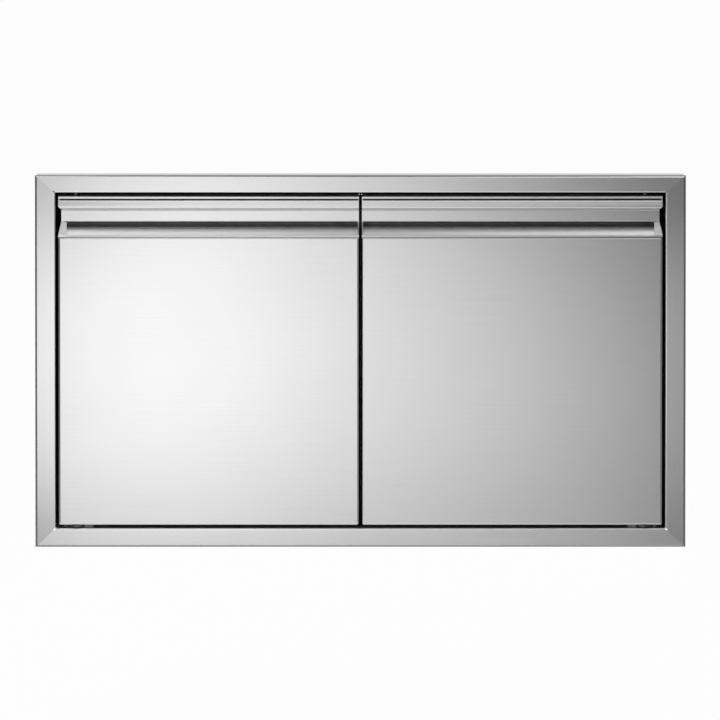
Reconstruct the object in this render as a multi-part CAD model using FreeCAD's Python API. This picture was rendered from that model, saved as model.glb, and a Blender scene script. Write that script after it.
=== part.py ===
"""Double access door for an outdoor kitchen island: a trim frame, a sleeve and two doors.

X runs to the right across the doors, Y runs into the island, and Z is up. The origin is the
middle of the trim frame, in the plane of the island's face. Sizes are in millimetres.
"""
import FreeCAD, Part
import math
import os

V = FreeCAD.Vector

# Trim frame and sleeve
OUTER_WIDTH = 914.4
OUTER_HEIGHT = 529.4
FLANGE_DEPTH = 19.05
SLEEVE_DEPTH = 57.15
STILE_FACE = 28.7
TOP_RAIL_FACE = 24.6
BOTTOM_RAIL_FACE = 27.1
SHEET = 1.2
BEND = 1.0
OUTER_BEND = 2.0
TOP_RAIL_BEND = 1.4
BOTTOM_RAIL_BEND = 2.2
INNER_RETURN_BACK = 16.0
SLEEVE_LAP = 14.0
SLEEVE_LIP = 16.0
CORNER_RELIEF = 4.2
RELIEF_SLOT_RADIUS = 1.1
RELIEF_SLOT_LENGTH = 3.2

# Doors
SIDE_GAP = 4.2
TOP_GAP = 5.2
BOTTOM_GAP = 4.2
CENTRE_GAP = 4.4
DOOR_DEPTH = 38.1
SKIN_RADIUS = 2.8
LINER_FLANGE = 12.0

# Finger pull, as depths behind the door's face and heights above the origin
SKIN_TOP = 175.6
SKIN_TOP_RADIUS = 1.4
LIP_GROOVE = 5.5
LIP_TOP = 180.2
LIP_BOTTOM = 177.6
GRIP_BOTTOM = 196.5
GRIP_STEP_LOW = 212.9
GRIP_STEP_HIGH = 218.2
GRIP_TOP = 229.4
GRIP_TOP_SET = 2.4
CAP_HEM_BOTTOM = 231.9
CAP_FLANGE = 14.0
GRIP_RECESS = 14.0
GRIP_HEM = 4.0
GRIP_HEM_TOP = 206.0
SHOULDER_RADIUS = 3.0
POCKET_DEPTH = 35.7
POCKET_STEP = (24.4, 189.2)
POCKET_RADIUS = 7.0
STEP_RADIUS = 5.2
SLOPE_MIDDLE = (18.75, 183.0)
SLOPE_RADIUS = 24.0
TROUGH_BACK = 14.6
TROUGH_RADIUS = 3.0
LIP_BACK = 1.6
LIP_HEM = 0.08
SCOOP_TAIL_BOTTOM = 163.0
END_CAP = 2.6
FREE_CAP = 1.3
SLIT_SET = 9.0
END_CAP_FOOT = 11.6
END_INSET = 4.2
END_INSET_LOW = 214.5
END_INSET_HIGH = 220.8

# Pivots and opening limit
PIVOT_INSET = 24.3
PIVOT_DEPTH = 12.0
PIN_RADIUS = 4.0
PIN_CLEARANCE = 0.05
PIN_HEAD_RADIUS = 6.0
PIN_HEAD = 2.5
PIN_REACH = 16.6
BUSH_RADIUS = 6.0
BRACKET_THICK = 6.0
BRACKET_X = (-28.0, 23.0)
BRACKET_Y = (3.5 - FLANGE_DEPTH, -0.6)
BRACKET_SCREW_X = (-20.0, 16.0)
BLOCK_REACH = 14.0
BLOCK_FRONT = 5.0
LOWER_BLOCK_BACK = 24.0
UPPER_BLOCK_LOW = 218.6
WASHER_RADIUS = 8.0
SEAT_GAP = 0.1
STUD_ANGLE = 120.0
STUD_RADIUS = 2.5
STUD_ORBIT = 15.0
STUD_FOOT = 1.5
CAM_THICK = 3.0
CAM_HUB_RADIUS = 12.0
CAM_REACH = 18.0
CAM_SPAN = 28.0

# Catches, stop and fixings
CATCH_X = 32.0
CATCH_HALF = 20.0
CATCH_EAR = 8.0
CATCH_EAR_THICK = 3.5
CATCH_EAR_INSET = 4.0
CATCH_WALL = 4.0
CATCH_FLOOR = 3.0
MAGNET_DEPTH = 8.0
POLE_THICK = 2.0
MAGNET_INSET = 0.6
CATCH_HEIGHT = 19.0
CATCH_FRONT = 20.9
CATCH_DEPTH = 18.0
STRIKE_THICK = 1.5
STRIKE_DROP = (22.0, 2.0)
STRIKE_RIVET_DROP = 18.0
STRIKE_RIVET_X = 14.0
STOP_HALF = 45.0
STOP_FRONT = 22.0
STOP_BASE = 25.0
STOP_HEIGHT = 24.0
STOP_SHEET = 1.5
STOP_SCREW_INSET = 12.0
BUMPER_X = 22.0
BUMPER_DROP = 9.0
BUMPER_RADIUS = 6.0
BUMPER_STEM = 2.0
BUMPER_KEEP = (3.2, 1.6)
SEAL_CLEARANCE = 0.8
SEAL_Y = (3.0, 14.0)
SILL_SEAL_HALF = 376.0
FIN_Y = 29.5
FIN_THICK = 1.5
FIN_REACH = 13.0
FIN_BASE = (7.0, 3.0)
EDGE_SEAL_DEPTH = (14.5, 17.5)
EDGE_SEAL_GAP = 0.05
EDGE_SEAL_DROP = 0.2
CENTRE_SEAL_HALF = 1.2
CENTRE_SEAL_DROP = 5.0
FIXING_HOLE_RADIUS = 2.5
FIXING_Y = (24.0, 42.0)
FIXING_Z = 180.0
GUSSET_LEG = 30.0
GUSSET_THICK = 2.0
GUSSET_Y = (18.0, 46.0)
GUSSET_RIVET_X = 16.5
GUSSET_RIVET_INSET = 7.0
RIVET_RADIUS = 2.0
RIVET_HEAD_RADIUS = 3.6
RIVET_HEAD = 1.1
SCREW_RADIUS = 2.0
SCREW_HEAD_RADIUS = 3.6
SCREW_HEAD = 1.6
RECESS_WIDTH = 0.7
RECESS_REACH = 1.7
RECESS_DEPTH = 1.0
STIFFENER_WEB = 20.0
STIFFENER_FLANGE = 18.0
STIFFENER_SHEET = 1.0
LINER_SCREW_X = 29.0
LINER_SCREW_Z = (-190.0, -35.0, 120.0)

# Places that follow from the sizes above
FACE_Y = -FLANGE_DEPTH
HALF_W = OUTER_WIDTH / 2
HALF_H = OUTER_HEIGHT / 2
OPEN_X = HALF_W - STILE_FACE
OPEN_TOP = HALF_H - TOP_RAIL_FACE
OPEN_BOTTOM = BOTTOM_RAIL_FACE - HALF_H
DOOR_FREE = CENTRE_GAP / 2
DOOR_HINGE = OPEN_X - SIDE_GAP
DOOR_TOP = OPEN_TOP - TOP_GAP
DOOR_BOTTOM = OPEN_BOTTOM + BOTTOM_GAP
DOOR_MIDDLE = (DOOR_FREE + DOOR_HINGE) / 2
DOOR_BACK = FACE_Y + DOOR_DEPTH
LINER_DEPTH = DOOR_DEPTH - SHEET
PIVOT_X = DOOR_HINGE - PIVOT_INSET
PIVOT_Y = FACE_Y + PIVOT_DEPTH
SLEEVE_X = OPEN_X + 2 * SHEET
SLEEVE_TOP = OPEN_TOP + 2 * SHEET
SLEEVE_BOTTOM = OPEN_BOTTOM - 2 * SHEET


def box(x, y, z):
    """A block between two limits on each axis."""
    return Part.makeBox(x[1] - x[0], y[1] - y[0], z[1] - z[0], V(x[0], y[0], z[0]))


def rod(radius, start, direction, length):
    """A cylinder from start along direction."""
    return Part.makeCylinder(radius, length, V(*start), V(*direction))


def unit(a, b):
    """Unit vector from a to b."""
    return (b - a).normalize()


def left_of(direction):
    """The direction turned a quarter to the left in the drawing plane."""
    return V(-direction.y, direction.x, 0)


def bend(before, corner, after, near_radius):
    """Start, middle and end of the arc that rounds a corner, with its centre."""
    run_in = unit(before, corner)
    run_out = unit(corner, after)
    side = 1 if run_in.cross(run_out).z > 0 else -1
    setback = near_radius * math.tan(run_in.getAngle(run_out) / 2)
    start = corner - run_in * setback
    end = corner + run_out * setback
    centre = start + left_of(run_in) * (side * near_radius)
    middle = centre + unit(centre, (start + end) * 0.5) * near_radius
    return start, middle, end, centre


def add_line(edges, a, b):
    """Append a straight edge, unless its ends meet."""
    if (b - a).Length > 1e-6:
        edges.append(Part.LineSegment(a, b).toShape())


def outline(points, radii):
    """Face inside a closed outline whose corners are rounded where a radius is given."""
    corners = [V(u, v, 0) for u, v in points]
    count = len(corners)
    arcs = []
    for i, corner in enumerate(corners):
        radius = radii.get(i, 0)
        if radius:
            start, middle, end, _ = bend(corners[i - 1], corner, corners[(i + 1) % count], radius)
            arcs.append((start, middle, end))
        else:
            arcs.append((corner, None, corner))
    edges = []
    for i, (start, middle, end) in enumerate(arcs):
        if middle is not None:
            edges.append(Part.Arc(start, middle, end).toShape())
        add_line(edges, end, arcs[(i + 1) % count][0])
    return Part.Face(Part.Wire(edges))


def folded(points, inner_radii, thickness=SHEET):
    """Face of a folded sheet's section: points run along one side, with the sheet on their left."""
    corners = [V(u, v, 0) for u, v in points]
    near = []
    far = []
    near_at = corners[0]
    far_at = corners[0] + left_of(unit(corners[0], corners[1])) * thickness
    first_far = far_at
    for before, corner, after, inner in zip(corners, corners[1:], corners[2:], inner_radii):
        turns_left = unit(before, corner).cross(unit(corner, after)).z > 0
        near_radius = inner + thickness if turns_left else inner
        start, middle, end, centre = bend(before, corner, after, near_radius)
        far_radius = inner if turns_left else inner + thickness
        scale = far_radius / near_radius
        far_start, far_middle, far_end = [centre + (p - centre) * scale for p in (start, middle, end)]
        add_line(near, near_at, start)
        near.append(Part.Arc(start, middle, end).toShape())
        add_line(far, far_at, far_start)
        far.append(Part.Arc(far_start, far_middle, far_end).toShape())
        near_at = end
        far_at = far_end
    last = corners[-1]
    last_far = last + left_of(unit(corners[-2], last)) * thickness
    add_line(near, near_at, last)
    add_line(far, far_at, last_far)
    ends = [Part.LineSegment(last, last_far).toShape(), Part.LineSegment(first_far, corners[0]).toShape()]
    return Part.Face(Part.Wire(near + [ends[0]] + far[::-1] + [ends[1]]))


def along_x(face, x0, x1):
    """Extrude a section drawn in (Y, Z) between two places on X."""
    turned = face.copy()
    turned.Placement = FreeCAD.Placement(FreeCAD.Matrix(0, 0, 1, x0, 1, 0, 0, 0, 0, 1, 0, 0, 0, 0, 0, 1))
    return turned.extrude(V(x1 - x0, 0, 0))


def along_y(face, y0, y1):
    """Extrude an outline drawn in (X, Z) between two places on Y."""
    turned = face.copy()
    turned.Placement = FreeCAD.Placement(FreeCAD.Matrix(1, 0, 0, 0, 0, 0, -1, y0, 0, 1, 0, 0, 0, 0, 0, 1))
    return turned.extrude(V(0, y1 - y0, 0))


def along_z(face, z0, z1):
    """Extrude a section drawn in (X, Y) between two heights."""
    raised = face.copy()
    raised.translate(V(0, 0, z0))
    return raised.extrude(V(0, 0, z1 - z0))


def mirrored(shape):
    """The same piece on the other side of the centre line."""
    return shape.mirror(V(0, 0, 0), V(1, 0, 0))


def pair(shape):
    """A piece and its mirror image, as two solids of one node."""
    return Part.Compound([shape, mirrored(shape)])


def main_solid(shape):
    """The largest solid of a cut shape, without the crumbs that lie in screw recesses."""
    return max(shape.Solids, key=lambda solid: solid.Volume)


def pan(x, z, depth, thickness, radius, open_top):
    """A folded tray seen from its face, with its rim towards the back."""
    def block(inset, corner_radius, back):
        """One rounded block of the tray, inset on every closed side."""
        if open_top:
            top = z[1] + (1.0 if inset else 0)
        else:
            top = z[1] - inset
        solid = box((x[0] + inset, x[1] - inset), (depth[0] + inset, back), (z[0] + inset, top))
        chosen = []
        for edge in solid.Edges:
            middle = edge.CenterOfMass
            on_front = abs(middle.y - depth[0] - inset) < 1e-6
            on_side = abs(middle.x - x[0] - inset) < 1e-6 or abs(middle.x - x[1] + inset) < 1e-6
            on_bottom = abs(middle.z - z[0] - inset) < 1e-6
            on_top = abs(middle.z - top) < 1e-6 and not open_top
            if sum((on_front, on_side, on_bottom or on_top)) == 2:
                chosen.append(edge)
        return solid.makeFillet(corner_radius, chosen)
    return block(0, radius, depth[1]).cut(block(thickness, radius - thickness, depth[1] + 1.0))


def frame_mitre(side):
    """Prism that a frame member keeps, cut on lines from outer corner to inner corner."""
    if side == "top":
        points = [(-HALF_W, HALF_H), (HALF_W, HALF_H), (OPEN_X, OPEN_TOP), (-OPEN_X, OPEN_TOP)]
    elif side == "bottom":
        points = [(-HALF_W, -HALF_H), (HALF_W, -HALF_H), (OPEN_X, OPEN_BOTTOM), (-OPEN_X, OPEN_BOTTOM)]
    else:
        points = [(HALF_W, -HALF_H), (HALF_W, HALF_H), (OPEN_X, OPEN_TOP), (OPEN_X, OPEN_BOTTOM)]
    return along_y(outline(points, {}), FACE_Y - 1, INNER_RETURN_BACK + 1)


def relief_slots():
    """Short slots on the mitre lines, where the inner returns of two members are notched."""
    slots = []
    for sx in (-1, 1):
        for edge, outer in ((OPEN_TOP, HALF_H), (OPEN_BOTTOM, -HALF_H)):
            inner_corner = V(sx * OPEN_X, FACE_Y - 1, edge)
            outer_corner = V(sx * HALF_W, FACE_Y - 1, outer)
            tip = inner_corner + unit(inner_corner, outer_corner) * RELIEF_SLOT_LENGTH
            depth = FLANGE_DEPTH / 3
            slots.append(rod(RELIEF_SLOT_RADIUS, tip, (0, 1, 0), depth))
            slots.append(rod(RELIEF_SLOT_RADIUS, inner_corner, (0, 1, 0), depth))
            middle = (inner_corner + tip) * 0.5
            bar = box((-RELIEF_SLOT_LENGTH / 2, RELIEF_SLOT_LENGTH / 2), (0, depth),
                      (-RELIEF_SLOT_RADIUS, RELIEF_SLOT_RADIUS))
            angle = math.degrees(math.atan2(tip.z - inner_corner.z, tip.x - inner_corner.x))
            bar.rotate(V(0, 0, 0), V(0, 1, 0), -angle)
            bar.translate(middle)
            slots.append(bar)
    return slots[0].fuse(slots[1:])


def return_reliefs():
    """Wedges that open the outer corners of the returns towards the back."""
    wedges = []
    for sx in (-1, 1):
        for sz in (-1, 1):
            for wide, tall in ((1, 0), (0, 1)):
                front = V(sx * HALF_W, FACE_Y + 3, sz * HALF_H)
                reach = V(-sx * CORNER_RELIEF * wide, 0, -sz * CORNER_RELIEF * tall)
                back = V(front.x, 0, front.z)
                across = V(0, 0, -sz * 3.0) if wide else V(-sx * 3.0, 0, 0)
                outward = V(0, 0, sz) if wide else V(sx, 0, 0)
                wire = Part.makePolygon([front + outward, back + outward, back + reach + outward,
                                         front + outward])
                wedges.append(Part.Face(wire).extrude(across - outward))
    return wedges[0].fuse(wedges[1:])


def rail(side):
    """Top or bottom member of the trim frame: outer return, face and inner return."""
    outer, inner = (HALF_H, OPEN_TOP) if side == "top" else (-HALF_H, OPEN_BOTTOM)
    points = [(0, outer), (FACE_Y, outer), (FACE_Y, inner), (INNER_RETURN_BACK, inner)]
    if side == "bottom":
        points = points[::-1]
    bends = [OUTER_BEND, TOP_RAIL_BEND] if side == "top" else [BOTTOM_RAIL_BEND, OUTER_BEND]
    body = along_x(folded(points, bends), -HALF_W, HALF_W)
    lap = (INNER_RETURN_BACK - SLEEVE_LAP, INNER_RETURN_BACK)
    beside = box((OPEN_X + SHEET, HALF_W), lap, (-HALF_H, HALF_H))
    return body.common(frame_mitre(side)).cut([beside, mirrored(beside)])


def stile():
    """Right-hand member of the trim frame, as long as the frame is high."""
    points = [(OPEN_X, INNER_RETURN_BACK), (OPEN_X, FACE_Y), (HALF_W, FACE_Y), (HALF_W, 0)]
    body = along_z(folded(points, [BEND, OUTER_BEND]), -HALF_H, HALF_H)
    return body.common(frame_mitre("side"))


def sleeve_mitre(side):
    """Prism that a sleeve panel keeps, cut at 45 degrees at the sleeve's corners."""
    reach = 60.0
    top, low = SLEEVE_TOP, SLEEVE_BOTTOM
    if side == "head":
        points = [(-SLEEVE_X, top), (SLEEVE_X, top), (SLEEVE_X - reach, top - reach),
                  (reach - SLEEVE_X, top - reach)]
    elif side == "sill":
        points = [(-SLEEVE_X, low), (SLEEVE_X, low), (SLEEVE_X - reach, low + reach),
                  (reach - SLEEVE_X, low + reach)]
    else:
        points = [(SLEEVE_X, low), (SLEEVE_X, top), (SLEEVE_X - reach, top - reach),
                  (SLEEVE_X - reach, low + reach)]
    return along_y(outline(points, {}), 0, SLEEVE_DEPTH + 1)


def head_or_sill(side):
    """Level panel of the sleeve with a lip along its back edge."""
    front = INNER_RETURN_BACK - SLEEVE_LAP
    z, inward = (SLEEVE_TOP, -1) if side == "head" else (SLEEVE_BOTTOM, 1)
    points = [(front, z), (SLEEVE_DEPTH, z), (SLEEVE_DEPTH, z + inward * SLEEVE_LIP)]
    if side == "head":
        points = points[::-1]
    body = along_x(folded(points, [BEND]), -SLEEVE_X, SLEEVE_X)
    return body.common(sleeve_mitre(side))


def jamb():
    """Right-hand panel of the sleeve, with its lip and the four fixing holes."""
    front = INNER_RETURN_BACK - SLEEVE_LAP
    points = [(SLEEVE_X, front), (SLEEVE_X, SLEEVE_DEPTH), (SLEEVE_X - SLEEVE_LIP, SLEEVE_DEPTH)]
    body = along_z(folded(points, [BEND]), SLEEVE_BOTTOM, SLEEVE_TOP).common(sleeve_mitre("side"))
    for y in FIXING_Y:
        for z in (-FIXING_Z, FIXING_Z):
            body = body.cut(rod(FIXING_HOLE_RADIUS, (SLEEVE_X - 3, y, z), (1, 0, 0), 6))
    return body


def gusset(top):
    """Corner angle outside the sleeve, at the right."""
    corner, inward = (SLEEVE_TOP, -1) if top else (SLEEVE_BOTTOM, 1)
    outer_x = SLEEVE_X + GUSSET_THICK
    outer_z = corner - inward * GUSSET_THICK
    points = [(outer_x, outer_z), (SLEEVE_X - GUSSET_LEG, outer_z), (SLEEVE_X - GUSSET_LEG, corner),
              (SLEEVE_X, corner), (SLEEVE_X, corner + inward * GUSSET_LEG),
              (outer_x, corner + inward * GUSSET_LEG)]
    return along_y(outline(points, {0: GUSSET_THICK}), *GUSSET_Y)


def rivet(start, direction, grip_length):
    """A rivet with a domed head at each end of its grip."""
    way = V(*direction)
    body = rod(RIVET_RADIUS, start, direction, grip_length)
    for at, out in ((V(*start), way * -1), (V(*start) + way * grip_length, way)):
        ball = (RIVET_HEAD_RADIUS ** 2 + RIVET_HEAD ** 2) / (2 * RIVET_HEAD)
        dome = Part.makeSphere(ball, at - out * (ball - RIVET_HEAD))
        body = body.fuse(dome.common(Part.makeCylinder(RIVET_HEAD_RADIUS, RIVET_HEAD, at, out)))
    return body


def gusset_rivets():
    """Two rivets in each leg of the four gussets."""
    grip_length = GUSSET_THICK + SHEET
    rivets = []
    for y in (GUSSET_Y[0] + GUSSET_RIVET_INSET, GUSSET_Y[1] - GUSSET_RIVET_INSET):
        for corner, inward in ((SLEEVE_TOP, -1), (SLEEVE_BOTTOM, 1)):
            level = corner + inward * GUSSET_RIVET_X
            side = rivet((SLEEVE_X - SHEET, y, level), (1, 0, 0), grip_length)
            flat = rivet((SLEEVE_X - GUSSET_RIVET_X, y, corner + inward * SHEET),
                         (0, 0, -inward), grip_length)
            rivets += [side, flat, mirrored(side), mirrored(flat)]
    return Part.Compound(rivets)


def countersunk_screw(start, direction, length):
    """A flat-headed screw whose head lies flush at start, with a cross recess."""
    way = V(*direction)
    head = Part.makeCone(SCREW_HEAD_RADIUS, SCREW_RADIUS, SCREW_HEAD, V(*start), way)
    body = head.fuse(rod(SCREW_RADIUS, start, direction, length))
    return body.cut(cross_recess(V(*start), way))


def pan_screw(start, direction, length):
    """A screw whose low round head stands before start, with a cross recess."""
    way = V(*direction)
    seat = V(*start)
    head = Part.makeCylinder(SCREW_HEAD_RADIUS, SCREW_HEAD, seat - way * SCREW_HEAD, way)
    rim = [e for e in head.Edges if (e.CenterOfMass - seat + way * SCREW_HEAD).Length < 1e-6]
    body = head.makeFillet(SCREW_HEAD * 0.6, rim).fuse(rod(SCREW_RADIUS, start, direction, length))
    return body.cut(cross_recess(seat - way * SCREW_HEAD, way))


def cross_recess(top, way):
    """Two crossed slots in a screw head."""
    corner = V(-RECESS_REACH, -RECESS_WIDTH / 2, 0)
    arm = Part.makeBox(2 * RECESS_REACH, RECESS_WIDTH, RECESS_DEPTH, corner)
    cross = arm.fuse(arm.copy().rotate(V(0, 0, 0), V(0, 0, 1), 90))
    cross.Placement = FreeCAD.Placement(top, FreeCAD.Rotation(V(0, 0, 1), way))
    return cross


def pivot_bracket(top):
    """Block in the hollow of a rail that carries a pin, at the right."""
    inner, inward = (OPEN_TOP, 1) if top else (OPEN_BOTTOM, -1)
    seat = inner + inward * SHEET
    z = sorted((seat, seat + inward * BRACKET_THICK))
    block = box((PIVOT_X + BRACKET_X[0], PIVOT_X + BRACKET_X[1]), BRACKET_Y, z)
    return block.cut(rod(PIN_RADIUS, (PIVOT_X, PIVOT_Y, z[0] - 1), (0, 0, 1), BRACKET_THICK + 2))


def bracket_screws():
    """Two flush screws up or down into each pivot bracket."""
    screws = []
    for inner, inward in ((OPEN_TOP, 1), (OPEN_BOTTOM, -1)):
        for offset in BRACKET_SCREW_X:
            screw = countersunk_screw((PIVOT_X + offset, PIVOT_Y, inner), (0, 0, inward),
                                      SHEET + BRACKET_THICK)
            screws += [screw, mirrored(screw)]
    return Part.Compound(screws)


def pivot_pin(top):
    """Headed pin from the rail's hollow into the door, at the right."""
    inner, inward = (OPEN_TOP, 1) if top else (OPEN_BOTTOM, -1)
    outer_end = inner + inward * (SHEET + BRACKET_THICK)
    gap = TOP_GAP if top else BOTTOM_GAP
    inner_end = inner - inward * (gap + PIN_REACH)
    z = sorted((outer_end, inner_end))
    body = rod(PIN_RADIUS, (PIVOT_X, PIVOT_Y, z[0]), (0, 0, 1), z[1] - z[0])
    tip = [e for e in body.Edges if abs(e.CenterOfMass.z - inner_end) < 1e-6]
    body = body.makeChamfer(0.8, tip)
    return body.fuse(rod(PIN_HEAD_RADIUS, (PIVOT_X, PIVOT_Y, outer_end), (0, 0, inward), PIN_HEAD))


def thrust_washer():
    """Spacer that carries the door's weight on the sill, at the right."""
    height = BOTTOM_GAP - SEAT_GAP
    body = rod(WASHER_RADIUS, (PIVOT_X, PIVOT_Y, OPEN_BOTTOM), (0, 0, 1), height)
    return body.cut(rod(PIN_RADIUS, (PIVOT_X, PIVOT_Y, OPEN_BOTTOM - 1), (0, 0, 1), height + 2))


def limit_stud():
    """Stud on the sill that stops the limit cam at the end of the door's swing."""
    angle = math.radians(STUD_ANGLE)
    x = PIVOT_X + STUD_ORBIT * math.cos(angle)
    y = PIVOT_Y + STUD_ORBIT * math.sin(angle)
    low = OPEN_BOTTOM - SHEET - STUD_FOOT
    body = rod(STUD_RADIUS, (x, y, low), (0, 0, 1), DOOR_BOTTOM - 0.5 - low)
    return body.fuse(rod(STUD_RADIUS + STUD_FOOT, (x, y, low), (0, 0, 1), STUD_FOOT))


def catch_housing():
    """Case of the magnetic catch under the head panel, at the right, with two ears."""
    top = SLEEVE_TOP - SHEET
    low = top - CATCH_HEIGHT
    back = CATCH_FRONT + CATCH_DEPTH
    body = box((CATCH_X - CATCH_HALF, CATCH_X + CATCH_HALF), (CATCH_FRONT, back), (low, top))
    upright = [e for e in body.Edges if abs(e.CenterOfMass.z - (low + top) / 2) < 1e-6]
    body = body.makeFillet(1.5, upright)
    ear = box((CATCH_X - CATCH_HALF - CATCH_EAR, CATCH_X + CATCH_HALF + CATCH_EAR),
              (CATCH_FRONT + CATCH_EAR_INSET, back - CATCH_EAR_INSET), (top - CATCH_EAR_THICK, top))
    cavity = box((CATCH_X - CATCH_HALF + CATCH_WALL, CATCH_X + CATCH_HALF - CATCH_WALL),
                 (CATCH_FRONT - 1, CATCH_FRONT + MAGNET_DEPTH), (low + CATCH_FLOOR, top - CATCH_WALL))
    return body.fuse(ear).cut(cavity)


def catch_magnet():
    """Magnet between two pole plates, in the housing's cavity."""
    top = SLEEVE_TOP - SHEET - CATCH_WALL
    low = SLEEVE_TOP - SHEET - CATCH_HEIGHT + CATCH_FLOOR
    x = (CATCH_X - CATCH_HALF + CATCH_WALL, CATCH_X + CATCH_HALF - CATCH_WALL)
    y = (CATCH_FRONT, CATCH_FRONT + MAGNET_DEPTH)
    poles = [box(x, y, (low, low + POLE_THICK)), box(x, y, (top - POLE_THICK, top))]
    magnet = box(x, (y[0] + MAGNET_INSET, y[1]), (low + POLE_THICK, top - POLE_THICK))
    return poles + [magnet]


def sleeve_screws():
    """Screws up through the ears of the catches, and down through the stop bracket's base."""
    screw_length = 6.5
    head_level = SLEEVE_TOP - SHEET - CATCH_EAR_THICK
    ear_y = CATCH_FRONT + CATCH_DEPTH / 2
    base_y = STOP_FRONT + STOP_BASE * 0.6
    screws = []
    for x in (CATCH_X - CATCH_HALF - CATCH_EAR / 2, CATCH_X + CATCH_HALF + CATCH_EAR / 2):
        screws.append(pan_screw((x, ear_y, head_level), (0, 0, 1), screw_length))
    stop_place = (STOP_HALF - STOP_SCREW_INSET, base_y, SLEEVE_BOTTOM + SHEET + STOP_SHEET)
    screws.append(pan_screw(stop_place, (0, 0, -1), screw_length))
    return Part.Compound(screws + [mirrored(screw) for screw in screws])


def stop_bracket():
    """Angle on the sill, behind the meeting edges of the doors."""
    low = SLEEVE_BOTTOM + SHEET
    points = [(STOP_FRONT + STOP_BASE, low), (STOP_FRONT + STOP_BASE, low + STOP_SHEET),
              (STOP_FRONT + STOP_SHEET, low + STOP_SHEET), (STOP_FRONT + STOP_SHEET, low + STOP_HEIGHT),
              (STOP_FRONT, low + STOP_HEIGHT), (STOP_FRONT, low)]
    return along_x(outline(points, {5: 2.5, 2: 1.0}), -STOP_HALF, STOP_HALF)


def bumper():
    """Rubber button that the closed door rests against, with its stem, at the right."""
    z = SLEEVE_BOTTOM + SHEET + STOP_HEIGHT - BUMPER_DROP
    front = DOOR_BACK + SEAT_GAP
    head = rod(BUMPER_RADIUS, (BUMPER_X, front, z), (0, 1, 0), STOP_FRONT - front)
    rim = [e for e in head.Edges if abs(e.CenterOfMass.y - front) < 1e-6]
    head = head.makeFillet(1.2, rim)
    stem = rod(BUMPER_STEM, (BUMPER_X, STOP_FRONT, z), (0, 1, 0), STOP_SHEET)
    keep = rod(BUMPER_KEEP[0], (BUMPER_X, STOP_FRONT + STOP_SHEET, z), (0, 1, 0), BUMPER_KEEP[1])
    return head.fuse([stem, keep])


def frame_seals():
    """Black strips over and under the doors, a tab between them and a fin beside each."""
    low = DOOR_TOP + SEAL_CLEARANCE
    head = box((SIDE_GAP - OPEN_X, OPEN_X - SIDE_GAP), SEAL_Y, (low, OPEN_TOP))
    tab = box((-CENTRE_SEAL_HALF, CENTRE_SEAL_HALF), SEAL_Y, (DOOR_TOP - CENTRE_SEAL_DROP, low))
    sill = box((-SILL_SEAL_HALF, SILL_SEAL_HALF), SEAL_Y, (OPEN_BOTTOM, DOOR_BOTTOM - SEAL_CLEARANCE))
    wall = SLEEVE_X - SHEET
    base_depth, base_thick = FIN_BASE
    points = [(wall, FIN_Y), (wall, FIN_Y + base_depth), (wall - base_thick, FIN_Y + base_depth),
              (wall - base_thick, FIN_Y + FIN_THICK), (wall - FIN_REACH, FIN_Y + FIN_THICK),
              (wall - FIN_REACH, FIN_Y)]
    fin = along_z(outline(points, {3: 1.0}), SLEEVE_BOTTOM + SHEET, SLEEVE_TOP - SHEET)
    return Part.Compound([head, tab, sill, fin, mirrored(fin)])


def depth_to_y(points):
    """Turn depths behind the door's face into places on Y."""
    return [(FACE_Y + depth, z) for depth, z in points]


def end_silhouette():
    """Hinge-side edge of the finger pull as (X, Z), set in beside the lower facet."""
    inset = DOOR_HINGE - END_INSET
    return [(DOOR_HINGE, LIP_TOP), (inset, GRIP_BOTTOM), (inset, END_INSET_LOW),
            (DOOR_HINGE, END_INSET_HIGH)]


def notch():
    """Space beside the hinge end of the finger pull, outside its silhouette."""
    points = end_silhouette() + [(OPEN_X, END_INSET_HIGH), (OPEN_X, LIP_TOP)]
    return along_y(outline(points, {2: 1.5, 3: 4.0}), FACE_Y - 1, DOOR_BACK + 1)


def end_cap_region():
    """Part of the door that the hinge end cap takes, seen from the front."""
    foot = DOOR_HINGE - END_CAP_FOOT
    leg = DOOR_HINGE - END_INSET - END_CAP
    head = DOOR_HINGE - END_CAP
    points = [(foot, SKIN_TOP), (OPEN_X, SKIN_TOP), (OPEN_X, CAP_HEM_BOTTOM + 4),
              (head, CAP_HEM_BOTTOM + 4), (head, END_INSET_HIGH), (leg, END_INSET_LOW),
              (leg, GRIP_BOTTOM), (foot, GRIP_BOTTOM)]
    return along_y(outline(points, {}), FACE_Y - 1, DOOR_BACK + 1)


def pull_profile():
    """Side view of the finger pull's end caps: lip, slope, lower facet, shoulder, upper facet."""
    points = depth_to_y([
        (LINER_DEPTH, SKIN_TOP), (LINER_DEPTH, DOOR_TOP - SHEET),
        (SHEET, DOOR_TOP - SHEET), (SHEET, CAP_HEM_BOTTOM), (SLIT_SET, CAP_HEM_BOTTOM),
        (SLIT_SET, GRIP_TOP), (GRIP_TOP_SET, GRIP_TOP),
        (0, GRIP_STEP_HIGH), (GRIP_RECESS, GRIP_STEP_LOW), (GRIP_RECESS, GRIP_BOTTOM),
        (0, LIP_TOP), (0, LIP_BOTTOM), (LIP_GROOVE, LIP_BOTTOM), (LIP_GROOVE, SKIN_TOP)])
    return outline(points, {2: 0.3, 7: SHOULDER_RADIUS + SHEET, 8: BEND, 10: 1.0})


def hinge_end_cap():
    """Solid end of the finger pull at the hinge side."""
    body = along_x(pull_profile(), DOOR_HINGE - END_CAP_FOOT, DOOR_HINGE)
    return body.common(end_cap_region()).cut(notch())


def free_end_cap():
    """Thin end of the finger pull at the door's free edge."""
    return along_x(pull_profile(), DOOR_FREE, DOOR_FREE + FREE_CAP)


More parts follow.
